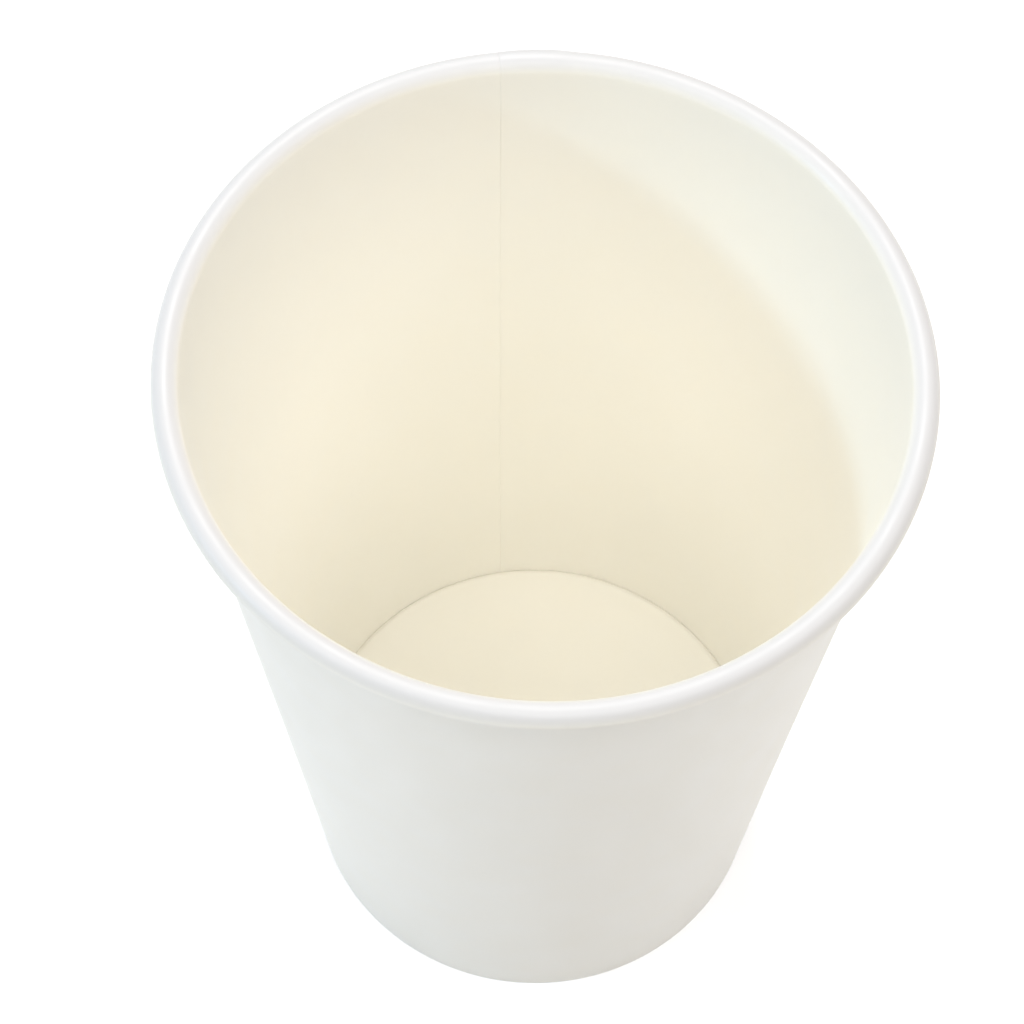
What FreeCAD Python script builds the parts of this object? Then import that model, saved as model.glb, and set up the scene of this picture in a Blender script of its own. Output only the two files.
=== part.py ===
import FreeCAD
import Part
import math
import os
from types import SimpleNamespace

import Sketcher

# A single-wall paper cup: a coated paperboard blank wrapped to a cone, lapped and
# sealed down one side, rolled outwards at the rim and folded in and up at the foot
# around the down-turned skirt of a separate bottom disc.
# +Z is up, the origin is the centre of the foot on the table, the side seam is at +Y.
# Lengths are in millimetres and angles in degrees.
SIZES = {
    # Over the rolled rim
    "rim_diameter": 90.0,
    # Over the wall, just above the foot's corner
    "foot_diameter": 60.0,
    # From the table to the top of the rolled rim
    "cup_height": 115.0,
    # Thickness of the wall's board
    "wall_board": 0.35,
    # Thickness of the bottom disc's board
    "floor_board": 0.30,
    # Over the roll of the rim, in section
    "curl_diameter": 3.2,
    # Between one turn of the roll and the next
    "curl_gap": 0.05,
    # Where the roll's second turn ends, above the horizontal on its outer side
    "curl_end_angle": 60.0,
    # From the table to the top of the bottom disc
    "floor_height": 6.5,
    # Inside the bend between the disc and its skirt
    "floor_bend_radius": 0.3,
    # From the disc's bend down to the edge of the foot's fold
    "fold_shortfall": 0.7,
    # Outer corners of the folded foot
    "foot_corner_radius": 0.3,
    # Film of coating on each face of the skirt, between it and the wall's board
    "seal_film": 0.02,
    # From the skirt's edge down to where the foot starts to turn
    "skirt_tip_gap": 0.3,
    # Width of the double board at the side seam
    "seam_lap": 7.0,
    # Run of the slope where the outer ply climbs onto the inner ply's edge
    "seam_ramp": 2.0,
    # Slit that the inner ply's cut edge leaves inside the cup
    "slit_width": 0.3,
    "slit_depth": 0.2,
}
SHEET = "sizes"

# Formulas that more than one sketch is bound to
CURL_RADIUS = "sizes.curl_diameter / 2"
CURL_X = "sizes.rim_diameter / 2 - sizes.curl_diameter / 2"
CURL_Z = "sizes.cup_height - sizes.curl_diameter / 2"
SKIRT_HALF = "sizes.floor_board / 2"
CHANNEL_RADIUS = f"({SKIRT_HALF} + sizes.seal_film)"
FOOT_RADIUS = f"({CHANNEL_RADIUS} + sizes.wall_board)"
FOOT_X = f"sizes.foot_diameter / 2 - {FOOT_RADIUS}"
FOLD_TOP = "sizes.floor_height - sizes.floor_board - sizes.floor_bend_radius - sizes.fold_shortfall"
# The outer turn's lower half, and how far below its centre the lap fits beside it
TURN_RADIUS = "(sizes.curl_diameter / 2 - (sizes.wall_board + sizes.curl_gap) / 2)"
LAP_TOP = f"{CURL_Z} - sqrt({TURN_RADIUS}^2 - ({TURN_RADIUS} - sizes.wall_board)^2)"

# Point numbers of a sketch element, and the sketch's own origin and axes
START, END, CENTRE = range(1, 4)
X_AXIS, Y_AXIS = range(-1, -3, -1)
ORIGIN = (X_AXIS, START)


def point(x, y):
    return FreeCAD.Vector(x, y, 0)


def polar(centre, radius, degrees):
    angle = math.radians(degrees)
    return (centre[0] + radius * math.cos(angle), centre[1] + radius * math.sin(angle))


def shifted(place, normal, distance):
    return (place[0] + normal[0] * distance, place[1] + normal[1] * distance)


def at_height(place, lean, height):
    """Where the line through place, leaning outwards by lean degrees, is at a height."""
    return (place[0] + (height - place[1]) * math.tan(math.radians(lean)), height)


def size_sheet(document):
    """The spreadsheet of driving sizes."""
    sheet = document.addObject("Spreadsheet::Sheet", SHEET)
    for row, (alias, value) in enumerate(SIZES.items(), start=1):
        sheet.set(f"A{row}", alias)
        sheet.set(f"B{row}", str(value))
        sheet.setAlias(f"B{row}", alias)
    document.recompute()
    return sheet


def first_guess(sheet):
    """Places of the cup's section, from which the sketches are solved."""
    size = SimpleNamespace(**{alias: float(sheet.get(alias)) for alias in SIZES})
    size.curl_radius = size.curl_diameter / 2
    size.curl_centre = (
        size.rim_diameter / 2 - size.curl_radius,
        size.cup_height - size.curl_radius,
    )
    size.channel_radius = size.floor_board / 2 + size.seal_film
    size.foot_radius = size.channel_radius + size.wall_board
    size.foot_centre = (size.foot_diameter / 2 - size.foot_radius, size.foot_radius)
    run = size.curl_centre[0] - size.foot_centre[0]
    rise = size.curl_centre[1] - size.foot_centre[1]
    crossing = (size.curl_radius + size.channel_radius) / math.hypot(run, rise)
    size.lean = math.degrees(math.atan2(run, rise) - math.asin(crossing))
    size.inward = (-math.cos(math.radians(size.lean)), math.sin(math.radians(size.lean)))
    size.food_foot = shifted(size.foot_centre, size.inward, -size.channel_radius)
    size.print_foot = shifted(size.foot_centre, size.inward, -size.foot_radius)
    return size


def new_sketch(body, name, plane_role, lift=None):
    """A sketch on one of the body's own origin planes, lifted off it by a formula."""
    plane = next(p for p in body.Origin.OriginFeatures if p.Role == plane_role)
    sketch = body.newObject("Sketcher::SketchObject", name)
    sketch.AttachmentSupport = (plane, [""])
    sketch.MapMode = "FlatFace"
    if lift:
        sketch.setExpression("AttachmentOffset.Base.z", lift)
    return sketch


def add_line(sketch, start, end, construction=False):
    return sketch.addGeometry(Part.LineSegment(point(*start), point(*end)), construction)


def add_arc(sketch, centre, radius, first, last):
    circle = Part.Circle(point(*centre), FreeCAD.Vector(0, 0, 1), radius)
    arc = Part.ArcOfCircle(circle, math.radians(first), math.radians(last))
    return sketch.addGeometry(arc, False)


def add_guide_circle(sketch, centre, radius):
    circle = Part.Circle(point(*centre), FreeCAD.Vector(0, 0, 1), radius)
    return sketch.addGeometry(circle, True)


def relate(sketch, *rules):
    for rule in rules:
        sketch.addConstraint(Sketcher.Constraint(*rule))


def smooth(sketch, *joints):
    """Tangent joints, each given as element, point, element, point."""
    relate(sketch, *(("Tangent", *joint) for joint in joints))


def meet(sketch, *joints):
    relate(sketch, *(("Coincident", *joint) for joint in joints))


def measure(sketch, name, formula, kind, *where):
    """A dimension bound to the sheet."""
    number = sketch.evalExpression(formula)
    value = float(getattr(number, "Value", number))
    if kind == "Angle":
        value = math.radians(value)
    index = sketch.addConstraint(Sketcher.Constraint(kind, *where, value))
    sketch.renameConstraint(index, name)
    sketch.setExpression(f"Constraints.{name}", formula)


def read_out(sketch, name, kind, *where):
    """A dimension that follows the sketch, for other sketches to use."""
    index = sketch.addConstraint(Sketcher.Constraint(kind, *where, 1.0))
    sketch.setDriving(index, False)
    sketch.renameConstraint(index, name)


def locate(sketch, name, element, spot, across, up):
    """Place one point of an element by its distances from the origin."""
    measure(sketch, f"{name}_x", across, "DistanceX", *ORIGIN, element, spot)
    measure(sketch, f"{name}_z", up, "DistanceY", *ORIGIN, element, spot)


def wall_profile(body, size):
    """Section of the wall: straight side, rolled rim above and folded foot below."""
    sketch = new_sketch(body, "wall_profile", "XZ_Plane")
    rim = size.curl_centre
    curl = size.curl_radius
    board = size.wall_board
    second = curl - board - size.curl_gap
    turn = (curl + second) / 2
    turn_centre = (rim[0] + curl - turn, rim[1])
    wall_side = 180 - size.lean
    foot = size.foot_centre
    corner = size.foot_corner_radius
    outward = (-size.inward[0], -size.inward[1])
    upward = (outward[1] * -1, outward[0])
    fold_food = shifted(foot, size.inward, size.channel_radius)
    fold_print = shifted(foot, size.inward, size.foot_radius)
    fold_tip = size.floor_height - size.floor_board - size.floor_bend_radius - size.fold_shortfall
    print_foot = at_height(size.print_foot, size.lean, corner)
    # Centres of the two corners, one corner radius inside the faces they join
    slant = 1 / math.cos(math.radians(size.lean))
    outer_corner = (print_foot[0] - corner * slant, corner)
    inner_corner = (at_height(fold_print, size.lean, corner)[0] + corner * slant, corner)

    # Food side, up the wall and round the roll to its end
    food = add_line(sketch, size.food_foot, polar(rim, curl, wall_side))
    over_food = add_arc(sketch, rim, curl, 0, wall_side)
    under_food = add_arc(sketch, turn_centre, turn, 180, 360)
    inner_food = add_arc(sketch, rim, second, size.curl_end_angle, 180)
    roll_end = add_line(
        sketch,
        polar(rim, second, size.curl_end_angle),
        polar(rim, second - board, size.curl_end_angle),
    )
    # Printed side, back round the roll and down the wall
    inner_print = add_arc(sketch, rim, second - board, size.curl_end_angle, 180)
    under_print = add_arc(sketch, turn_centre, turn - board, 180, 360)
    over_print = add_arc(sketch, rim, curl - board, 0, wall_side)
    wall_print = add_line(
        sketch,
        polar(rim, curl - board, wall_side),
        shifted(outer_corner, outward, corner),
    )
    # Foot, with a flat land on the table, and the fold up inside it
    first_corner = add_arc(sketch, outer_corner, corner, 270, 360 - size.lean)
    land = add_line(sketch, (outer_corner[0], 0), (inner_corner[0], 0))
    last_corner = add_arc(sketch, inner_corner, corner, 180 - size.lean, 270)
    fold_out = add_line(
        sketch,
        shifted(inner_corner, size.inward, corner),
        at_height(fold_print, size.lean, fold_tip),
    )
    fold_edge = add_line(
        sketch,
        at_height(fold_print, size.lean, fold_tip),
        shifted(at_height(fold_print, size.lean, fold_tip), outward, board),
    )
    fold_in = add_line(
        sketch,
        shifted(at_height(fold_print, size.lean, fold_tip), outward, board),
        fold_food,
    )
    channel = add_arc(sketch, foot, size.channel_radius, 180 - size.lean, 360 - size.lean)
    foot_guide = add_guide_circle(sketch, foot, size.foot_radius)

    smooth(
        sketch,
        (food, END, over_food, END),
        (over_food, START, under_food, END),
        (under_food, START, inner_food, END),
        (inner_print, END, under_print, START),
        (under_print, END, over_print, START),
        (over_print, END, wall_print, START),
        (wall_print, END, first_corner, END),
        (first_corner, START, land, START),
        (land, END, last_corner, END),
        (last_corner, START, fold_out, START),
        (fold_in, END, channel, START),
        (channel, END, food, START),
    )
    meet(
        sketch,
        (inner_food, START, roll_end, START),
        (roll_end, END, inner_print, START),
        (fold_out, END, fold_edge, START),
        (fold_edge, END, fold_in, START),
        (over_food, CENTRE, inner_food, CENTRE),
        (over_food, CENTRE, inner_print, CENTRE),
        (over_food, CENTRE, over_print, CENTRE),
        (channel, CENTRE, foot_guide, CENTRE),
    )
    relate(
        sketch,
        ("Horizontal", over_food, CENTRE, under_food, CENTRE),
        ("Horizontal", over_food, CENTRE, under_print, CENTRE),
        ("PointOnObject", over_food, CENTRE, roll_end),
        ("Tangent", wall_print, foot_guide),
        ("Tangent", fold_out, foot_guide),
        ("Parallel", fold_out, wall_print),
        ("Parallel", fold_in, food),
        ("Perpendicular", fold_edge, fold_out),
        ("PointOnObject", land, START, X_AXIS),
        ("Horizontal", land),
    )
    locate(sketch, "rim", over_food, CENTRE, CURL_X, CURL_Z)
    locate(sketch, "foot", channel, CENTRE, FOOT_X, FOOT_RADIUS)
    measure(sketch, "curl", CURL_RADIUS, "Radius", over_food)
    measure(sketch, "curl_inside", f"{CURL_RADIUS} - sizes.wall_board", "Radius", over_print)
    second_turn = f"{CURL_RADIUS} - sizes.wall_board - sizes.curl_gap"
    measure(sketch, "second_turn", second_turn, "Radius", inner_food)
    measure(sketch, "second_inside", f"{second_turn} - sizes.wall_board", "Radius", inner_print)
    measure(sketch, "roll_end_x", "180 + sizes.curl_end_angle", "Angle", roll_end)
    measure(sketch, "channel", CHANNEL_RADIUS, "Radius", channel)
    measure(sketch, "foot_round", FOOT_RADIUS, "Radius", foot_guide)
    measure(sketch, "outer_corner", "sizes.foot_corner_radius", "Radius", first_corner)
    measure(sketch, "inner_corner", "sizes.foot_corner_radius", "Radius", last_corner)
    measure(sketch, "fold_top", FOLD_TOP, "DistanceY", *ORIGIN, fold_out, END)

    # Radius of the printed side where the lap starts and ends
    for name, height in (("lap_foot", FOOT_RADIUS), ("lap_head", LAP_TOP)):
        level = float(sketch.evalExpression(height))
        spot = sketch.addGeometry(Part.Point(point(*at_height(size.print_foot, size.lean, level))), True)
        relate(sketch, ("PointOnObject", spot, START, wall_print))
        measure(sketch, f"{name}_level", height, "DistanceY", *ORIGIN, spot, START)
        read_out(sketch, f"{name}_radius", "DistanceX", *ORIGIN, spot, START)
    return sketch


def lap_section(body, name, size, level, wall_radius):
    """Crescent of the outer ply at one height: a cut edge at +X, a slope at -X."""
    sketch = new_sketch(body, name, "XY_Plane", level)
    middle = float(sketch.evalExpression(wall_radius))
    inner = middle - size.wall_board / 2
    outer = middle + size.wall_board
    cut = math.degrees(math.acos(size.seam_lap / outer))
    slope_end = math.degrees(math.acos(-size.seam_ramp / inner))
    inside = add_arc(sketch, (0, 0), inner, cut, slope_end)
    outside = add_arc(sketch, (0, 0), outer, cut, 90)
    cut_edge = add_line(sketch, polar((0, 0), inner, cut), polar((0, 0), outer, cut))
    slope = add_line(sketch, (0, outer), polar((0, 0), inner, slope_end))
    meet(
        sketch,
        (inside, CENTRE, *ORIGIN),
        (outside, CENTRE, *ORIGIN),
        (inside, START, cut_edge, START),
        (cut_edge, END, outside, START),
        (outside, END, slope, START),
        (slope, END, inside, END),
    )
    relate(
        sketch,
        ("PointOnObject", *ORIGIN, cut_edge),
        ("PointOnObject", outside, END, Y_AXIS),
    )
    measure(sketch, "inside", f"{wall_radius} - sizes.wall_board / 2", "Radius", inside)
    measure(sketch, "outside", f"{wall_radius} + sizes.wall_board", "Radius", outside)
    measure(sketch, "lap", "sizes.seam_lap", "DistanceX", *ORIGIN, outside, START)
    measure(sketch, "ramp", "sizes.seam_ramp", "DistanceX", inside, END, *ORIGIN)
    return sketch


def slit_profile(body, size):
    """Section of the slit beside the inner ply's cut edge, up the wall and over the rim."""
    sketch = new_sketch(body, "slit_profile", "YZ_Plane")
    rim = size.curl_centre
    curl = size.curl_radius
    depth = size.slit_depth
    wall_side = 180 - size.lean
    start = at_height(size.food_foot, size.lean, size.floor_height)
    in_air = shifted(start, size.inward, depth)
    in_board = shifted(start, size.inward, -depth)
    face = add_line(sketch, size.food_foot, polar(rim, curl, wall_side), True)
    air_line = add_line(sketch, in_air, polar(rim, curl + depth, wall_side))
    air_arc = add_arc(sketch, rim, curl + depth, 0, wall_side)
    last = add_line(sketch, polar(rim, curl + depth, 0), polar(rim, curl - depth, 0))
    board_arc = add_arc(sketch, rim, curl - depth, 0, wall_side)
    board_line = add_line(sketch, polar(rim, curl - depth, wall_side), in_board)
    first = add_line(sketch, in_board, in_air)
    rim_guide = add_guide_circle(sketch, rim, curl)
    foot_guide = add_guide_circle(sketch, size.foot_centre, size.channel_radius)
    smooth(
        sketch,
        (air_line, END, air_arc, END),
        (board_arc, END, board_line, START),
    )
    meet(
        sketch,
        (air_arc, START, last, START),
        (last, END, board_arc, START),
        (board_line, END, first, START),
        (first, END, air_line, START),
        (air_arc, CENTRE, rim_guide, CENTRE),
        (board_arc, CENTRE, rim_guide, CENTRE),
    )
    relate(
        sketch,
        ("Tangent", face, rim_guide),
        ("Tangent", face, foot_guide),
        ("Parallel", air_line, face),
        ("Parallel", board_line, face),
        ("Perpendicular", first, face),
        ("Horizontal", last),
        ("PointOnObject", rim_guide, CENTRE, last),
    )
    locate(sketch, "rim", rim_guide, CENTRE, CURL_X, CURL_Z)
    locate(sketch, "foot", foot_guide, CENTRE, FOOT_X, FOOT_RADIUS)
    measure(sketch, "curl", CURL_RADIUS, "Radius", rim_guide)
    measure(sketch, "channel", CHANNEL_RADIUS, "Radius", foot_guide)
    measure(sketch, "in_air", f"{CURL_RADIUS} + sizes.slit_depth", "Radius", air_arc)
    measure(sketch, "in_board", f"{CURL_RADIUS} - sizes.slit_depth", "Radius", board_arc)
    measure(sketch, "start", "sizes.floor_height", "DistanceY", *ORIGIN, first, START)
    # The guide line ends level with the foot's bend and with the rim's centre
    relate(
        sketch,
        ("Horizontal", face, START, foot_guide, CENTRE),
        ("Horizontal", face, END, rim_guide, CENTRE),
    )
    return sketch


def skirt_profile(body, size):
    """Section of the bottom disc and its skirt, between the axis and the wall."""
    sketch = new_sketch(body, "disc_profile", "XZ_Plane")
    film = size.seal_film
    board = size.floor_board
    bend = size.floor_bend_radius + board
    outward = (-size.inward[0], -size.inward[1])
    skirt_foot = shifted(size.foot_centre, outward, board / 2)
    tip_level = size.foot_centre[1] + size.skirt_tip_gap
    tip = at_height(skirt_foot, size.lean, tip_level)
    bend_level = size.floor_height - bend
    slant = 1 / math.cos(math.radians(size.lean))
    bend_centre = (at_height(skirt_foot, size.lean, bend_level)[0] - bend * slant, bend_level)
    side = -size.lean

    top = add_line(sketch, (0, size.floor_height), (bend_centre[0], size.floor_height))
    outer_bend = add_arc(sketch, bend_centre, bend, side, 90)
    skirt_out = add_line(sketch, polar(bend_centre, bend, side), tip)
    edge = add_line(sketch, tip, shifted(tip, size.inward, board))
    skirt_in = add_line(
        sketch,
        shifted(tip, size.inward, board),
        polar(bend_centre, size.floor_bend_radius, side),
    )
    inner_bend = add_arc(sketch, bend_centre, size.floor_bend_radius, side, 90)
    underside = add_line(
        sketch,
        (bend_centre[0], size.floor_height - board),
        (0, size.floor_height - board),
    )
    middle = add_line(sketch, (0, size.floor_height - board), (0, size.floor_height))
    rim_guide = add_guide_circle(sketch, size.curl_centre, size.curl_radius + film)
    foot_guide = add_guide_circle(sketch, size.foot_centre, board / 2)
    smooth(
        sketch,
        (top, END, outer_bend, END),
        (outer_bend, START, skirt_out, START),
        (skirt_in, END, inner_bend, START),
        (inner_bend, END, underside, START),
    )
    meet(
        sketch,
        (skirt_out, END, edge, START),
        (edge, END, skirt_in, START),
        (underside, END, middle, START),
        (middle, END, top, START),
        (outer_bend, CENTRE, inner_bend, CENTRE),
    )
    relate(
        sketch,
        ("Tangent", skirt_out, rim_guide),
        ("Tangent", skirt_out, foot_guide),
        ("Parallel", skirt_in, skirt_out),
        ("Perpendicular", edge, skirt_out),
        ("Horizontal", top),
        ("Horizontal", underside),
        ("PointOnObject", top, START, Y_AXIS),
        ("Vertical", middle),
    )
    locate(sketch, "rim", rim_guide, CENTRE, CURL_X, CURL_Z)
    locate(sketch, "foot", foot_guide, CENTRE, FOOT_X, FOOT_RADIUS)
    measure(sketch, "rim_line", f"{CURL_RADIUS} + sizes.seal_film", "Radius", rim_guide)
    measure(sketch, "foot_line", SKIRT_HALF, "Radius", foot_guide)
    measure(sketch, "bend_inside", "sizes.floor_bend_radius", "Radius", inner_bend)
    bend_outside = "sizes.floor_bend_radius + sizes.floor_board"
    measure(sketch, "bend_outside", bend_outside, "Radius", outer_bend)
    measure(sketch, "floor", "sizes.floor_height", "DistanceY", *ORIGIN, top, START)
    tip_height = f"{FOOT_RADIUS} + sizes.skirt_tip_gap"
    measure(sketch, "tip", tip_height, "DistanceY", *ORIGIN, skirt_out, END)
    return sketch


def new_body(document, name):
    body = document.addObject("PartDesign::Body", name)
    body.Label = name
    body.Placement = FreeCAD.Placement()
    return body


def revolve(body, name, sketch):
    feature = body.newObject("PartDesign::Revolution", name)
    feature.Profile = sketch
    feature.ReferenceAxis = (sketch, ["V_Axis"])
    feature.Angle = 360
    return feature


def sidewall(document, size):
    """The wrapped wall, one folded sheet, with its rolled rim, foot fold and side lap."""
    body = new_body(document, "sidewall")
    profile = wall_profile(body, size)
    document.recompute()
    revolve(body, "wrapped_wall", profile)
    document.recompute()

    read = "wall_profile.Constraints.{}_radius / 1 mm"
    foot = lap_section(body, "lap_foot", size, FOOT_RADIUS, read.format("lap_foot"))
    head = lap_section(body, "lap_head", size, LAP_TOP, read.format("lap_head"))
    document.recompute()
    lap = body.newObject("PartDesign::AdditiveLoft", "side_lap")
    lap.Profile = foot
    lap.Sections = [head]
    lap.Ruled = True
    document.recompute()

    slit_sketch = slit_profile(body, size)
    document.recompute()
    slit = body.newObject("PartDesign::Groove", "ply_edge_slit")
    slit.Profile = slit_sketch
    slit.ReferenceAxis = (slit_sketch, ["V_Axis"])
    slit.setExpression("Angle", "2 * sizes.slit_width / sizes.rim_diameter * 180 / pi")
    return body


def bottom_disc(document, size):
    """The flat bottom, with its edge turned down into a skirt inside the foot's fold."""
    body = new_body(document, "bottom_disc")
    profile = skirt_profile(body, size)
    document.recompute()
    revolve(body, "pressed_disc", profile)
    return body


def check(document, bodies):
    """Stop before anything is written if an object failed or a piece isn't sound."""
    for item in document.Objects:
        if "Invalid" in item.State or "Error" in item.State:
            raise RuntimeError(f"{item.Name} didn't compute: {item.State}")
    for body in bodies:
        if body.Shape.isNull() or not body.Shape.isValid():
            raise RuntimeError(f"{body.Label} isn't a sound solid")


def main():
    document = FreeCAD.newDocument("paper_cup")
    sheet = size_sheet(document)
    size = first_guess(sheet)
    bodies = [sidewall(document, size), bottom_disc(document, size)]
    document.recompute()
    check(document, bodies)
    os.makedirs("parts", exist_ok=True)
    for body in bodies:
        body.Shape.exportStep(f"parts/{body.Label}.step")


main()
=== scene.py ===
"""Looks of a paper coffee cup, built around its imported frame.

Lengths are metres and angles degrees.
"""

import logging
import math
from dataclasses import dataclass, field
from enum import Enum

import bpy
from mathutils import Matrix, Vector


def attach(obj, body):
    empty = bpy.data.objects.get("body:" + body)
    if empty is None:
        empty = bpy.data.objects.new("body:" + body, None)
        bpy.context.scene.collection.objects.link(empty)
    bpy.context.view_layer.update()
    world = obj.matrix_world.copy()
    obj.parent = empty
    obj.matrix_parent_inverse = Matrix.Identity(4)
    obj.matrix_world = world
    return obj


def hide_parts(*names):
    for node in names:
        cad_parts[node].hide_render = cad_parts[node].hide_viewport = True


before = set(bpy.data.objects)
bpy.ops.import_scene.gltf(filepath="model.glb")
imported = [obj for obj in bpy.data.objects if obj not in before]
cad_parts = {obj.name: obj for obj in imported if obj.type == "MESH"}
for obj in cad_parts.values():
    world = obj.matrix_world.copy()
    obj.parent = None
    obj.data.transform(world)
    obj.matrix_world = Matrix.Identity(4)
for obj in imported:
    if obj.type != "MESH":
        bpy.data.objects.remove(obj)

LOG = logging.getLogger("paper_cup")
MM = 0.001
TURN = 360.0
# Lengths closer than this are the same
NEARLY = 1e-7
# Faces that meet at a wider angle keep a sharp edge
SMOOTH_ANGLE = 50.0


class Face(Enum):
    """Which face of the board a polygon belongs to, by its material slot."""

    FOOD = 0
    PRINT = 1
    CUT = 2


class Stretch(Enum):
    """Stretches of the wall's section, from the end of the roll to the edge of the fold."""

    ROLL = 0
    SIDE = 1
    FOOT = 2
    FOLD = 3


def ease(low: float, high: float, value: float) -> float:
    """Smooth step.

    Args:
        low: Where the step starts.
        high: Where the step ends.
        value: Where it is read.

    Returns:
        0 before low, 1 after high and a smooth curve between.
    """
    share = min(max((value - low) / (high - low), 0.0), 1.0)
    return share * share * (3 - 2 * share)


def linear(code: str) -> tuple[float, float, float, float]:
    """Turn an sRGB colour to the linear one that shaders use.

    Args:
        code: Six hex digits after a hash sign.

    Returns:
        Linear red, green, blue and an alpha of 1.
    """
    parts = [int(code[place : place + 2], 16) / 255 for place in (1, 3, 5)]
    curve = [c / 12.92 if c <= 0.04045 else ((c + 0.055) / 1.055) ** 2.4 for c in parts]
    return (*curve, 1.0)


def add_node(
    tree: bpy.types.NodeTree,
    kind: str,
    settings: dict[str, object] | None = None,
    values: dict[str | int, object] | None = None,
) -> bpy.types.Node:
    """Add a shader node.

    Args:
        tree: The material's or world's node tree.
        kind: The node's type name.
        settings: Properties of the node itself.
        values: Input sockets, each with a plain value or the output socket that feeds it.

    Returns:
        The new node.
    """
    node = tree.nodes.new(kind)
    for name, value in (settings or {}).items():
        setattr(node, name, value)
    for name, value in (values or {}).items():
        if isinstance(value, bpy.types.NodeSocket):
            tree.links.new(value, node.inputs[name])
        else:
            node.inputs[name].default_value = value
    return node


@dataclass(frozen=True)
class Board:
    """One face of cup board, as a procedural finish."""

    name: str
    colour: str
    cloud_colour: str
    roughness: float
    roughness_spread: float
    ior: float
    fibre: float
    fibre_relief: float
    cloud: float
    cloud_relief: float
    # The part of the cloud pattern's range over which the gloss varies
    cloud_low: float = 0.3
    cloud_high: float = 0.7
    # Fibres are drawn out along a slant, by turning the pattern and squeezing one of its axes
    fibre_slant: tuple[float, float, float] = (0.4, 0.3, 0.5)
    fibre_squeeze: tuple[float, float, float] = (1.0, 1.0, 0.35)
    # Painted shade over the top of the rim, told by the height and a share of the radius. It is
    # darker than the film, and keeps these lamps from burning the rim out. It is a stand-in for
    # the way a camera rolls a highlight off, and not a tone that real film is known to have
    rim_shade_colour: str = ""
    rim_lean: float = 0.1
    rim_from: float = 117.9 * MM
    rim_to: float = 119.35 * MM

    def paint_rim_shade(
        self,
        tree: bpy.types.NodeTree,
        place: bpy.types.NodeSocket,
        tone: bpy.types.NodeSocket,
    ) -> bpy.types.NodeSocket:
        """Paint shade over the top of the rim, darkening the film where these lamps would burn it
        out.

        Args:
            tree: The material's node tree.
            place: Object coordinates.
            tone: The board's tone away from the rim.

        Returns:
            The tone everywhere.
        """
        axes = add_node(tree, "ShaderNodeSeparateXYZ", values={"Vector": place}).outputs
        level = add_node(tree, "ShaderNodeCombineXYZ", values={"X": axes["X"], "Y": axes["Y"]})
        radius = add_node(
            tree, "ShaderNodeVectorMath", {"operation": "LENGTH"}, {0: level.outputs["Vector"]}
        )
        over = add_node(
            tree,
            "ShaderNodeMath",
            {"operation": "MULTIPLY_ADD"},
            {0: radius.outputs["Value"], 1: self.rim_lean, 2: axes["Z"]},
        ).outputs["Value"]
        share = add_node(
            tree,
            "ShaderNodeMapRange",
            {"interpolation_type": "SMOOTHSTEP"},
            {"Value": over, "From Min": self.rim_from, "From Max": self.rim_to},
        )
        return add_node(
            tree,
            "ShaderNodeMix",
            {"data_type": "RGBA"},
            {"Factor": share.outputs["Result"], "A": tone, "B": linear(self.rim_shade_colour)},
        ).outputs["Result"]

    def build(self) -> bpy.types.Material:
        """Make the material.

        Returns:
            A material whose tone, gloss and relief vary at the board's real scales.
        """
        material = bpy.data.materials.new(self.name)
        material.use_nodes = True
        tree = material.node_tree
        tree.nodes.clear()
        place = add_node(tree, "ShaderNodeTexCoord").outputs["Object"]
        # Flocs, the soft clouds in which fibres settle on the paper machine
        cloud = add_node(
            tree,
            "ShaderNodeTexNoise",
            values={"Vector": place, "Scale": 1 / self.cloud, "Detail": 1.0, "Roughness": 0.5},
        ).outputs["Fac"]
        drawn = add_node(
            tree,
            "ShaderNodeMapping",
            values={"Vector": place, "Rotation": self.fibre_slant, "Scale": self.fibre_squeeze},
        ).outputs["Vector"]
        fibre = add_node(
            tree,
            "ShaderNodeTexNoise",
            values={"Vector": drawn, "Scale": 1 / self.fibre, "Detail": 2.0, "Roughness": 0.6},
        ).outputs["Fac"]
        tone = add_node(
            tree,
            "ShaderNodeMix",
            {"data_type": "RGBA"},
            {"Factor": cloud, "A": linear(self.colour), "B": linear(self.cloud_colour)},
        ).outputs["Result"]
        # Painted shade over the top of the rim, where one is given
        if self.rim_shade_colour:
            tone = self.paint_rim_shade(tree, place, tone)
        gloss = add_node(
            tree,
            "ShaderNodeMapRange",
            values={
                "Value": cloud,
                "From Min": self.cloud_low,
                "From Max": self.cloud_high,
                "To Min": self.roughness - self.roughness_spread,
                "To Max": self.roughness + self.roughness_spread,
            },
        )
        swell = add_node(
            tree,
            "ShaderNodeBump",
            values={"Strength": 1.0, "Distance": self.cloud_relief, "Height": cloud},
        )
        nap = add_node(
            tree,
            "ShaderNodeBump",
            values={
                "Strength": 1.0,
                "Distance": self.fibre_relief,
                "Height": fibre,
                "Normal": swell.outputs["Normal"],
            },
        )
        shader = add_node(
            tree,
            "ShaderNodeBsdfPrincipled",
            values={
                "Base Color": tone,
                "Roughness": gloss.outputs["Result"],
                "IOR": self.ior,
                "Normal": nap.outputs["Normal"],
            },
        )
        add_node(tree, "ShaderNodeOutputMaterial", values={"Surface": shader.outputs["BSDF"]})
        return material


# Bleached board under a thin film of polyethylene, chill-rolled matt: a smooth cream white
# with a broad, soft sheen. Polyethylene's IOR is 1.51.
COATED_BOARD = Board(
    name="polyethylene_coated_board",
    colour="#FEFCF4",
    cloud_colour="#FEFBF1",
    roughness=0.42,
    roughness_spread=0.04,
    ior=1.51,
    fibre=0.35 * MM,
    fibre_relief=0.004 * MM,
    cloud=6 * MM,
    cloud_relief=0.02 * MM,
    # A neutral grey painted shade over the top of the rim, darker than the film
    rim_shade_colour="#D1D1D1",
)
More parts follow.
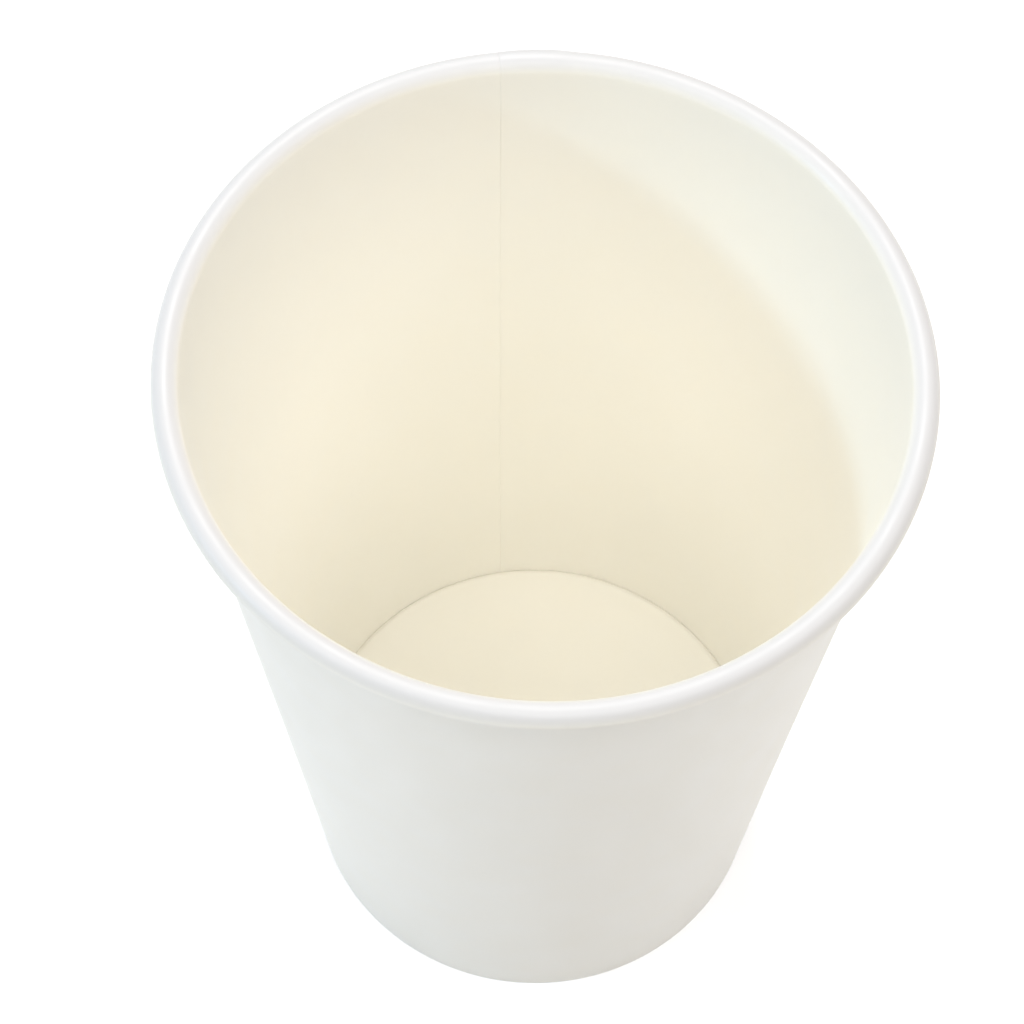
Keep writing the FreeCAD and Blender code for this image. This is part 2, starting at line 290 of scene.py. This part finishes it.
# The same board's bare, calendered face: a cooler, matt white with a fine nap.
BARE_BOARD = Board(
    name="uncoated_bleached_board",
    colour="#E4E3E0",
    cloud_colour="#E1E0DC",
    roughness=0.72,
    roughness_spread=0.05,
    ior=1.47,
    fibre=0.30 * MM,
    fibre_relief=0.010 * MM,
    cloud=5 * MM,
    cloud_relief=0.02 * MM,
)
# Knife-cut edge of the board: open fibres, a little warmer and quite rough.
CUT_BOARD = Board(
    name="cut_board_edge",
    colour="#EFE9DA",
    cloud_colour="#E6DFCC",
    roughness=0.9,
    roughness_spread=0.04,
    ior=1.47,
    fibre=0.12 * MM,
    fibre_relief=0.02 * MM,
    cloud=1.5 * MM,
    cloud_relief=0.02 * MM,
)


class Bench:
    """Shared modelling moves, all in Blender's own operators."""

    @staticmethod
    def drop_point(name: str, place: Vector) -> bpy.types.Object:
        """Start a mesh as one vertex and leave it in edit mode.

        Args:
            name: Name of the new object.
            place: Where the vertex is.

        Returns:
            The new object.
        """
        bpy.ops.object.select_all(action="DESELECT")
        bpy.ops.mesh.primitive_circle_add(vertices=3, radius=MM, location=place)
        piece = bpy.context.object
        piece.name = name
        piece.data.name = name
        bpy.ops.object.transform_apply(location=True, rotation=True, scale=True)
        bpy.ops.object.mode_set(mode="EDIT")
        bpy.ops.mesh.select_all(action="SELECT")
        bpy.ops.mesh.merge(type="CENTER")
        return piece

    @staticmethod
    def sweep(centre: tuple[float, float], degrees: float, steps: int) -> None:
        """Draw an arc of the section on from the selected vertex.

        Args:
            centre: Radius and height of the arc's centre.
            degrees: Turn, positive from the cup's outside towards its top.
            steps: Number of edges.
        """
        bpy.ops.mesh.spin(
            steps=steps,
            angle=math.radians(-degrees),
            center=(0.0, centre[0], centre[1]),
            axis=(1.0, 0.0, 0.0),
        )

    @staticmethod
    def draw(step: Vector, steps: int) -> None:
        """Draw a straight stretch of the section on from the selected vertex.

        Args:
            step: The whole stretch, as a vector.
            steps: Number of edges.
        """
        for _ in range(steps):
            bpy.ops.mesh.extrude_vertices_move(TRANSFORM_OT_translate={"value": step / steps})

    @staticmethod
    def wrap(degrees: float, steps: int) -> None:
        """Spin what is selected on around the cup's axis, clockwise from above.

        Args:
            degrees: Turn of the wrap.
            steps: Number of columns of faces.
        """
        bpy.ops.mesh.spin(
            steps=steps,
            angle=math.radians(degrees),
            center=(0.0, 0.0, 0.0),
            axis=(0.0, 0.0, 1.0),
        )


@dataclass
class Row:
    """One point of the wall's section, on the food side of the board."""

    radius: float
    height: float
    towards_print: tuple[float, float]
    stretch: Stretch


@dataclass
class CupForm:
    """The cup's driving sizes, and the lines that its pieces share."""

    rim_radius: float = 45 * MM
    foot_radius: float = 30 * MM
    height: float = 115 * MM
    wall_board: float = 0.35 * MM
    floor_board: float = 0.30 * MM
    curl_radius: float = 1.6 * MM
    curl_gap: float = 0.05 * MM
    seal_film: float = 0.02 * MM
    floor_height: float = 6.5 * MM
    floor_bend: float = 0.7 * MM
    # The rim is slightly oval, and the foot is held round by the disc
    rim_oval: float = 0.0077
    oval_heading: float = -26.0

    def __post_init__(self) -> None:
        """Work out the wall's lean, and the centres of the roll's turns and of the foot."""
        self.channel = self.floor_board / 2 + self.seal_film
        foot_bend = self.channel + self.wall_board
        self.rim_centre = (self.rim_radius - self.curl_radius, self.height - self.curl_radius)
        self.second_radius = self.curl_radius - self.wall_board - self.curl_gap
        across = (self.curl_radius - self.second_radius) / 2
        self.turn_centre = (self.rim_centre[0] + across, self.rim_centre[1])
        self.foot_centre = (self.foot_radius - foot_bend, foot_bend)
        run = self.rim_centre[0] - self.foot_centre[0]
        rise = self.rim_centre[1] - self.foot_centre[1]
        crossing = (self.curl_radius + self.channel) / math.hypot(run, rise)
        self.lean = math.degrees(math.atan2(run, rise) - math.asin(crossing))

    def oval(self, heading: float, height: float) -> float:
        """Share by which the cup's radius grows at a heading and height.

        Args:
            heading: Angle from +X, in degrees.
            height: Height over the table.

        Returns:
            A factor near 1.
        """
        grown = ease(self.floor_height, self.height, height)
        return 1 + self.rim_oval * grown * math.cos(2 * math.radians(heading - self.oval_heading))

    @staticmethod
    def on_circle(
        centre: tuple[float, float], radius: float, degrees: float
    ) -> tuple[float, float]:
        """A point of a circle in the section's plane."""
        angle = math.radians(degrees)
        return (centre[0] + radius * math.cos(angle), centre[1] + radius * math.sin(angle))


@dataclass
class WallSheet:
    """The wrapped wall: one sheet from the roll's end to the fold's edge, lapped at the seam."""

    form: CupForm
    lap_width: float = 7 * MM
    ramp_width: float = 2 * MM
    # The outer ply meets the inner ply's cut edge almost flush: it dips a little before it, and
    # the cut edge stands up a little and has a rounded corner
    slit: float = 0.007 * MM
    dip_width: float = 0.3 * MM
    dip: float = 0.035 * MM
    lip_width: float = 0.4 * MM
    lip: float = 0.04 * MM
    corner: float = 0.03 * MM
    # Rolling irons most of that out
    ironed: float = 0.25
    roll_end: float = 60.0
    fold_top: float = 5.2 * MM
    # The two plies are crushed to nearly one board's thickness in the roll and the foot
    crushed: float = 0.5
    crush_run: float = 6 * MM
    # The double board still swells the roll a little, from a share of it at the cut edge
    roll_swell: float = 0.09 * MM
    swell_at_edge: float = 0.3
    swell_rise: float = 1.4 * MM
    swell_fade: float = 3 * MM
    # The seam runs slightly askew, from the foot's side to the rim's
    seam_at_floor: float = 91.2
    seam_at_rim: float = 89.35
    # Ridges that the sealing tool presses into the foot's fold, full from this many times the
    # height of the foot's bend
    ridge_relief: float = 0.05 * MM
    ridge_start: float = 2.5
    # Faint undulation of the side: its depth, its crests around, where they start, their twist
    # in radians a metre, and the shares of the height between which it is full
    wave: float = 0.06 * MM
    wave_crests: int = 5
    wave_start: float = 40.0
    wave_twist: float = 30.0
    wave_full: tuple[float, float] = (0.5, 0.8)
    # Edges along the section
    inner_turn_steps: int = 10
    under_turn_steps: int = 18
    over_turn_steps: int = 20
    side_steps: int = 36
    foot_steps: int = 8
    fold_steps: int = 4
    # Columns of faces around the cup
    columns: int = 240
    ramp_columns: int = 5
    edge_columns: int = 4
    lap_columns: int = 8
    rows: list[Row] = field(default_factory=list)

    def section(self) -> None:
        """Draw the food side's section as a chain of arcs and straights, at the seam."""
        form = self.form
        rim, foot = form.rim_centre, form.foot_centre
        start = form.on_circle(rim, form.second_radius, self.roll_end)
        self.piece = Bench.drop_point("cup_sidewall", Vector((0.0, *start)))
        Bench.sweep(rim, 180 - self.roll_end, self.inner_turn_steps)
        Bench.sweep(form.turn_centre, 180.0, self.under_turn_steps)
        Bench.sweep(rim, 180 - form.lean, self.over_turn_steps)
        top = form.on_circle(rim, form.curl_radius, 180 - form.lean)
        bottom = form.on_circle(foot, form.channel, -form.lean)
        Bench.draw(Vector((0.0, bottom[0] - top[0], bottom[1] - top[1])), self.side_steps)
        Bench.sweep(foot, -180.0, self.foot_steps)
        inside = form.on_circle(foot, form.channel, 180 - form.lean)
        rise = self.fold_top - inside[1]
        Bench.draw(Vector((0.0, rise * math.tan(math.radians(form.lean)), rise)), self.fold_steps)

    def read_rows(self) -> None:
        """Note each section point with the direction of the board's printed side."""
        form = self.form
        bpy.ops.object.mode_set(mode="OBJECT")
        rim, foot = form.rim_centre, form.foot_centre
        lean = math.radians(form.lean)
        outward = (math.cos(lean), -math.sin(lean))
        upward = (math.sin(lean), math.cos(lean))
        top = form.on_circle(rim, form.curl_radius, 180 - form.lean)
        for vertex in self.piece.data.vertices:
            radius, height = vertex.co.y, vertex.co.z
            ahead = (radius - foot[0]) * outward[0] + (height - foot[1]) * outward[1]
            along = (radius - foot[0]) * upward[0] + (height - foot[1]) * upward[1]
            rolled = (radius - top[0]) * upward[0] + (height - top[1]) * upward[1]
            if rolled > -NEARLY or radius > top[0] + form.wall_board / 2:
                centre = rim if height >= rim[1] - NEARLY else form.turn_centre
                away = Vector((centre[0] - radius, centre[1] - height)).normalized()
                self.rows.append(Row(radius, height, (away.x, away.y), Stretch.ROLL))
            elif along > NEARLY and ahead > 0:
                self.rows.append(Row(radius, height, outward, Stretch.SIDE))
            elif along > NEARLY:
                inward = (-outward[0], -outward[1])
                self.rows.append(Row(radius, height, inward, Stretch.FOLD))
            else:
                away = Vector((radius - foot[0], height - foot[1])).normalized()
                self.rows.append(Row(radius, height, (away.x, away.y), Stretch.FOOT))

    def degrees(self, width: float, radius: float) -> float:
        """Turn about the cup's axis that a width takes at a radius."""
        return math.degrees(width / radius)

    def roll_up(self) -> None:
        """Wrap the section past its own start, and double it for the board's two faces."""
        middle = (self.form.rim_radius + self.form.foot_radius) / 2
        self.lap_turn = self.degrees(self.lap_width, middle)
        lip, ramp, dip, slit = (
            self.degrees(width, middle)
            for width in (self.lip_width, self.ramp_width, self.dip_width, self.slit)
        )
        stages = (
            (lip, self.edge_columns),
            (TURN - lip - ramp - dip - slit, self.columns),
            (ramp, self.ramp_columns),
            (dip, self.edge_columns),
            (slit, 1),
            (self.lap_turn, self.lap_columns),
        )
        bpy.ops.object.mode_set(mode="EDIT")
        bpy.ops.mesh.select_all(action="SELECT")
        travel = [0.0]
        for turn, steps in stages:
            Bench.wrap(turn, steps)
            start = travel[-1]
            travel += [start + turn * step / steps for step in range(1, steps + 1)]
        bpy.ops.object.mode_set(mode="OBJECT")
        mesh = self.piece.data
        count = len(self.rows)
        places = range(len(mesh.vertices))
        row_of = mesh.attributes.new("row", "INT", "POINT")
        row_of.data.foreach_set("value", [index % count for index in places])
        travel_of = mesh.attributes.new("travel", "FLOAT", "POINT")
        travel_of.data.foreach_set("value", [travel[index // count] for index in places])
        bpy.ops.object.mode_set(mode="EDIT")
        bpy.ops.mesh.select_all(action="SELECT")
        bpy.ops.mesh.extrude_region_move()
        bpy.ops.object.mode_set(mode="OBJECT")

    def plies(self, row: Row, travel: float) -> tuple[float, float]:
        """How the board lies at one place.

        Args:
            row: The point of the section.
            travel: How far round the wrap it is, from the inner ply's cut edge.

        Returns:
            How far the food side is moved towards the printed side, and the thickness there.
        """
        form = self.form
        board = form.wall_board
        low = ease(form.foot_centre[1], form.foot_centre[1] + self.crush_run, row.height)
        high = ease(form.rim_centre[1], form.rim_centre[1] - self.crush_run, row.height)
        share = self.crushed
        if row.stretch is Stretch.SIDE:
            share += (1 - self.crushed) * low * high
        one = board * share
        # Distances along the wrap, on from the cut edge and back from it
        ahead = math.radians(travel) * row.radius
        behind = math.radians(TURN - travel) * row.radius
        swell, edge = 0.0, 1.0
        if row.stretch is Stretch.ROLL:
            reach = -behind if behind < self.slit / 2 else ahead
            rise = ease(0.0, self.swell_rise, reach)
            fade = ease(self.lap_width + self.swell_fade, self.lap_width, reach)
            swell = self.roll_swell * (self.swell_at_edge + (1 - self.swell_at_edge) * rise) * fade
            edge = self.ironed
        if behind < self.slit / 2:
            return one + form.seal_film - swell, one
        if behind < self.dip_width + self.ramp_width:
            climb = ease(self.dip_width + self.ramp_width, self.dip_width, behind)
            dip = edge * self.dip * ease(self.dip_width, 0.0, behind)
            return dip, board + (2 * one + form.seal_film - board) * climb - dip
        lift = edge * self.lip * ease(self.lip_width, 0.0, ahead)
        corner = edge * (self.lip + self.corner)
        corner *= ease(self.lip_width / self.edge_columns, 0.0, ahead)
        relaxed = ease(self.lap_width, self.lap_width + self.ramp_width, ahead)
        flattened = one + (board - one) * relaxed
        return corner - lift - swell, flattened + min(lift - corner, 0.0)

    def place(self, row: Row, travel: float, printed: bool) -> Vector:
        """Where a vertex ends up.

        Args:
            row: Its point of the section.
            travel: How far round the wrap it is.
            printed: Whether it is on the printed side.

        Returns:
            The vertex's place in the cup's frame.
        """
        form = self.form
        shift, thickness = self.plies(row, travel)
        offset = shift + (thickness if printed else 0.0)
        if row.stretch is Stretch.FOLD and printed:
            column = round(travel / TURN * self.columns)
            bend = form.foot_centre[1]
            above_bend = ease(bend, self.ridge_start * bend, row.height)
            offset -= self.ridge_relief * above_bend * (column % 2)
        radius = row.radius + row.towards_print[0] * offset
        height = max(row.height + row.towards_print[1] * offset, 0.0)
        turned = travel
        if travel > TURN:
            lap_turn = self.degrees(self.lap_width, row.radius)
            turned = TURN + (travel - TURN) * lap_turn / self.lap_turn
        climbed = (row.height - form.floor_height) / (form.height - form.floor_height)
        seam = self.seam_at_floor + (self.seam_at_rim - self.seam_at_floor) * climbed
        heading = seam - turned
        full_from, full_to = (form.height * share for share in self.wave_full)
        grown = ease(form.floor_height, full_from, row.height)
        faded = ease(form.height, full_to, row.height)
        phase = math.radians(self.wave_crests * heading + self.wave_start)
        radius += self.wave * grown * faded * math.sin(phase + self.wave_twist * row.height)
        radius *= form.oval(heading, row.height)
        angle = math.radians(heading)
        return Vector((radius * math.cos(angle), radius * math.sin(angle), height))

    def press(self) -> None:
        """Settle every vertex, and sort the faces into food side, printed side and cut edge."""
        mesh = self.piece.data
        rows = [item.value for item in mesh.attributes["row"].data]
        travel = [item.value for item in mesh.attributes["travel"].data]
        flat = len(mesh.vertices) // 2
        for vertex in mesh.vertices:
            printed = vertex.index >= flat
            vertex.co = self.place(self.rows[rows[vertex.index]], travel[vertex.index], printed)
        for polygon in mesh.polygons:
            layers = {index >= flat for index in polygon.vertices}
            if len(layers) == 2:
                polygon.material_index = Face.CUT.value
            else:
                polygon.material_index = Face.PRINT.value if True in layers else Face.FOOD.value
        mesh.attributes.remove(mesh.attributes["row"])
        mesh.attributes.remove(mesh.attributes["travel"])
        mesh.update()

    def build(self) -> bpy.types.Object:
        """Model the wall.

        Returns:
            The finished sheet.
        """
        self.section()
        self.read_rows()
        self.roll_up()
        self.press()
        finish_mesh(self.piece)
        return self.piece


@dataclass
class BottomDisc:
    """The bottom: a flat disc whose edge turns down into a skirt."""

    form: CupForm
    tip_gap: float = 0.3 * MM
    # The bend overlaps the wall's board by this much, so that the crease reads as a shallow
    # groove. It stays under the board's thickness, or the bend would show outside
    overlap: float = 0.32 * MM
    # The unsupported middle sags a little
    sag: float = 0.15 * MM
    flat_steps: int = 14
    bend_steps: int = 10
    skirt_steps: int = 4
    columns: int = 200

    def build(self) -> bpy.types.Object:
        """Model the disc.

        Returns:
            The finished disc.
        """
        form = self.form
        board = form.floor_board
        bend = form.floor_bend + board
        lean = math.radians(form.lean)
        tip = form.on_circle(form.foot_centre, board / 2, -form.lean)
        bend_level = form.floor_height - bend
        bend_radius = tip[0] + (bend_level - tip[1]) * math.tan(lean) + self.overlap
        bend_centre = (bend_radius - bend / math.cos(lean), bend_level)
        skirt_top = form.on_circle(bend_centre, bend, -form.lean)
        tip = (tip[0] + self.tip_gap * math.tan(lean), tip[1] + self.tip_gap)
        skirt = Vector((0.0, tip[0] - skirt_top[0], tip[1] - skirt_top[1]))
        piece = Bench.drop_point("cup_bottom_disc", Vector((0.0, 0.0, form.floor_height)))
        Bench.draw(Vector((0.0, bend_centre[0], 0.0)), self.flat_steps)
        Bench.sweep(bend_centre, -(90 + form.lean), self.bend_steps)
        Bench.draw(skirt, self.skirt_steps)
        bpy.ops.mesh.select_all(action="SELECT")
        Bench.wrap(TURN, self.columns)
        bpy.ops.mesh.select_all(action="SELECT")
        bpy.ops.mesh.remove_doubles(threshold=0.001 * MM)
        bpy.ops.mesh.normals_make_consistent(inside=False)
        bpy.ops.object.mode_set(mode="OBJECT")
        flat = bend_centre[0]
        for vertex in piece.data.vertices:
            radius = math.hypot(vertex.co.x, vertex.co.y)
            if radius < flat:
                vertex.co.z -= self.sag * ease(flat, 0.0, radius)
        thicken = piece.modifiers.new("board", "SOLIDIFY")
        thicken.thickness = board
        thicken.offset = -1.0
        thicken.use_even_offset = True
        thicken.material_offset = Face.PRINT.value
        thicken.material_offset_rim = Face.CUT.value
        for _ in Face:
            piece.data.materials.append(None)
        bpy.ops.object.modifier_apply(modifier=thicken.name)
        finish_mesh(piece)
        return piece


def finish_mesh(piece: bpy.types.Object) -> None:
    """Turn a piece's faces outwards and shade it smooth apart from its cut edges.

    Args:
        piece: The mesh object.
    """
    bpy.ops.object.select_all(action="DESELECT")
    bpy.context.view_layer.objects.active = piece
    piece.select_set(True)
    bpy.ops.object.mode_set(mode="EDIT")
    bpy.ops.mesh.select_all(action="SELECT")
    bpy.ops.mesh.normals_make_consistent(inside=False)
    bpy.ops.object.mode_set(mode="OBJECT")
    bpy.ops.object.shade_smooth_by_angle(angle=math.radians(SMOOTH_ANGLE))


def dress(
    piece: bpy.types.Object, finishes: list[bpy.types.Material], node: str
) -> None:
    """Give a piece its finishes and its place in the frame.

    Args:
        piece: The mesh object.
        finishes: Materials, in the order of Face.
        node: The CAD node that it stands for.
    """
    piece.data.materials.clear()
    for finish in finishes:
        piece.data.materials.append(finish)
    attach(piece, "root")
    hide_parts(node)
    LOG.info("%s: %d faces", piece.name, len(piece.data.polygons))


@dataclass(frozen=True)
class Lamp:
    """A round soft lamp, placed by its heading from +X and its level over the horizon."""

    name: str
    heading: float
    level: float
    size: float
    power: float
    distance: float = 1.5
    colour: str = "#FFFFFF"


@dataclass
class Studio:
    """Floor, lamps, world and camera."""

    # The camera's place and turns, solved from the outlines of the rim, side, floor and foot
    camera_place: tuple[float, float, float] = (-37.76 * MM, -228.1 * MM, 512.1 * MM)
    camera_pitch: float = -61.85
    camera_heading: float = 8.51
    camera_roll: float = 0.83
    focal_pixels: float = 4014.0
    image_pixels: float = 1024.0
    sensor: float = 36.0
    floor_side: float = 2.0
    floor_colour: str = "#CFCFCF"
    # The floor's own glow, which lifts it to white for the camera alone
    floor_glow: float = 0.5
    lit_point: Vector = field(default_factory=lambda: Vector((0.0, 0.0, 100 * MM)))
    world_strength: float = 0.30
    white: str = "#FFFFFF"
    lamps: tuple[Lamp, ...] = (
        Lamp("key_lamp", heading=186, level=22, size=0.16, power=4.6, colour="#AED9FF"),
        Lamp("front_lamp", heading=-90, level=64, size=0.9, power=7.75, colour="#FFFAF2"),
        Lamp("right_lamp", heading=-15, level=50, size=0.8, power=5.05, colour="#FFF9FC"),
        Lamp("left_lamp", heading=190, level=58, size=0.8, power=4.6),
        Lamp("back_lamp", heading=90, level=38, size=0.8, power=3.2),
        Lamp("behind_lamp", heading=90, level=62, size=0.6, power=8.7, colour="#FFFCF8"),
    )

    def add_camera(self) -> None:
        """Set up the camera at the photograph's viewing angle."""
        camera = bpy.data.cameras.new("camera")
        camera.sensor_width = self.sensor
        camera.lens = self.focal_pixels / self.image_pixels * self.sensor
        holder = bpy.data.objects.new("camera", camera)
        bpy.context.scene.collection.objects.link(holder)
        turn = Matrix.Rotation(math.radians(-self.camera_heading), 4, "Z")
        turn @= Matrix.Rotation(math.radians(90 + self.camera_pitch), 4, "X")
        turn @= Matrix.Rotation(math.radians(self.camera_roll), 4, "Z")
        holder.matrix_world = Matrix.Translation(self.camera_place) @ turn
        bpy.context.scene.camera = holder

    def add_lamp(self, lamp: Lamp) -> None:
        """Hang a round soft lamp that faces the cup.

        Args:
            lamp: The lamp.
        """
        light = bpy.data.lights.new(lamp.name, "AREA")
        light.shape = "DISK"
        light.size = lamp.size
        light.energy = lamp.power
        light.color = linear(lamp.colour)[:3]
        holder = bpy.data.objects.new(lamp.name, light)
        bpy.context.scene.collection.objects.link(holder)
        heading = math.radians(lamp.heading)
        level = math.radians(lamp.level)
        away = Vector(
            (
                math.cos(heading) * math.cos(level),
                math.sin(heading) * math.cos(level),
                math.sin(level),
            )
        )
        place = self.lit_point + lamp.distance * away
        aim = (-away).to_track_quat("-Z", "Y").to_matrix().to_4x4()
        holder.matrix_world = Matrix.Translation(place) @ aim

    def add_world(self) -> None:
        """Light the scene with a plain white dome, and show pure white behind it."""
        world = bpy.data.worlds.new("studio")
        world.use_nodes = True
        bpy.context.scene.world = world
        tree = world.node_tree
        tree.nodes.clear()
        strength = self.when_seen(tree, unseen=self.world_strength, seen=1.0)
        glow = add_node(
            tree,
            "ShaderNodeBackground",
            values={"Color": linear(self.white), "Strength": strength},
        )
        add_node(tree, "ShaderNodeOutputWorld", values={"Surface": glow.outputs["Background"]})

    @staticmethod
    def when_seen(tree: bpy.types.NodeTree, unseen: float, seen: float) -> bpy.types.NodeSocket:
        """A strength for rays from the camera, a reflection or clear glass, and one for others.

        Args:
            tree: The tree to add the nodes to.
            unseen: The strength for all other rays.
            seen: The strength for such rays.

        Returns:
            A socket with the strength.
        """
        path = add_node(tree, "ShaderNodeLightPath")
        either = add_node(
            tree,
            "ShaderNodeMath",
            {"operation": "MAXIMUM"},
            {0: path.outputs["Is Camera Ray"], 1: path.outputs["Is Glossy Ray"]},
        )
        direct = add_node(
            tree,
            "ShaderNodeMath",
            {"operation": "MAXIMUM"},
            {0: either.outputs["Value"], 1: path.outputs["Is Transmission Ray"]},
        )
        strength = add_node(
            tree,
            "ShaderNodeMapRange",
            values={"Value": direct.outputs["Value"], "To Min": unseen, "To Max": seen},
        )
        return strength.outputs["Result"]

    def add_floor(self) -> None:
        """Lay a pale floor that keeps the cup's shadow and otherwise reads as white."""
        bpy.ops.object.select_all(action="DESELECT")
        bpy.ops.mesh.primitive_plane_add(size=self.floor_side, location=(0.0, 0.0, 0.0))
        floor = bpy.context.object
        floor.name = "floor"
        material = bpy.data.materials.new("pale_floor")
        material.use_nodes = True
        tree = material.node_tree
        tree.nodes.clear()
        strength = self.when_seen(tree, unseen=0.0, seen=self.floor_glow)
        matt = add_node(tree, "ShaderNodeBsdfDiffuse", values={"Color": linear(self.floor_colour)})
        glow = add_node(
            tree,
            "ShaderNodeEmission",
            values={"Color": linear(self.white), "Strength": strength},
        )
        both = add_node(
            tree,
            "ShaderNodeAddShader",
            values={0: matt.outputs["BSDF"], 1: glow.outputs["Emission"]},
        )
        add_node(tree, "ShaderNodeOutputMaterial", values={"Surface": both.outputs["Shader"]})
        floor.data.materials.append(material)

    def build(self) -> None:
        """Set up everything around the cup."""
        bpy.context.scene.view_settings.view_transform = "Standard"
        self.add_camera()
        self.add_world()
        for lamp in self.lamps:
            self.add_lamp(lamp)
        self.add_floor()


def main() -> None:
    """Build the studio and the cup, piece by piece."""
    logging.basicConfig(level=logging.INFO, format="%(name)s: %(message)s")
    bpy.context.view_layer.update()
    Studio().build()
    form = CupForm()
    coated, bare, cut = COATED_BOARD.build(), BARE_BOARD.build(), CUT_BOARD.build()
    dress(WallSheet(form).build(), [coated, bare, cut], "sidewall")
    dress(BottomDisc(form).build(), [coated, bare, cut], "bottom_disc")


if __name__ == "__main__":
    main()
